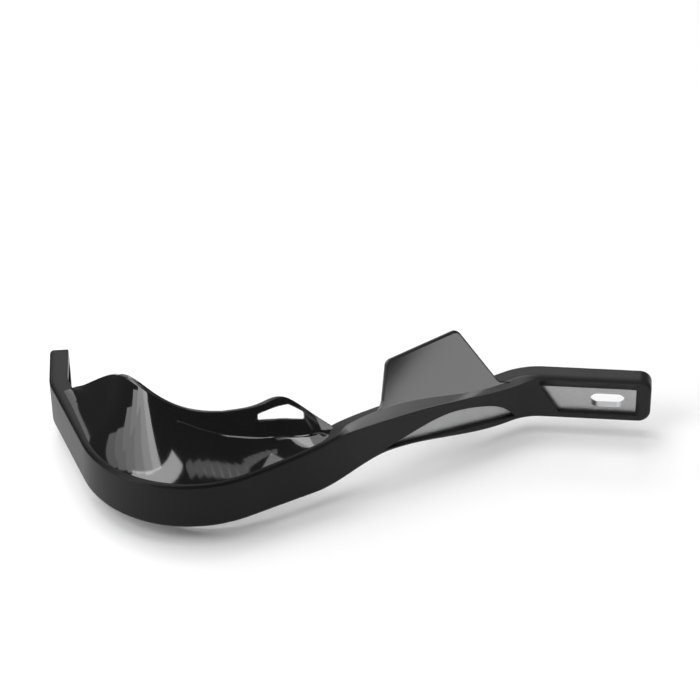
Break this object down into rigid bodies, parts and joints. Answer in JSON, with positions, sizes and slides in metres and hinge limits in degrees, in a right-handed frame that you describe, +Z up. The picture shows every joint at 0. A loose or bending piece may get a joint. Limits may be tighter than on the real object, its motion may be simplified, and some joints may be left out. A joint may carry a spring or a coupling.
{
  "type": "motorcycle hand guard",
  "caption": "Wrap-round motorcycle hand guard: bent aluminium bar in a black plastic moulding with a gloss upper shield, a slotted clamp end and a bar-end bolt hole.",
  "frame": {"origin": "centre of the bar-end bolt hole, at the middle of the bar's thickness", "axes": "+X along the bar-end bolt toward the clamp end, +Y toward the rider, +Z up"},
  "size_m": [0.3404, 0.1368, 0.0829],
  "materials": {
    "black_plastic": "high gloss on the shield and wing, fine matt grain on the band",
    "bare_aluminium": "satin, lightly mottled"
  },
  "bodies": {
    "root": {"aluminium_bar": "bare_aluminium", "guard_moulding": "black_plastic"}
  },
  "joints": []
}
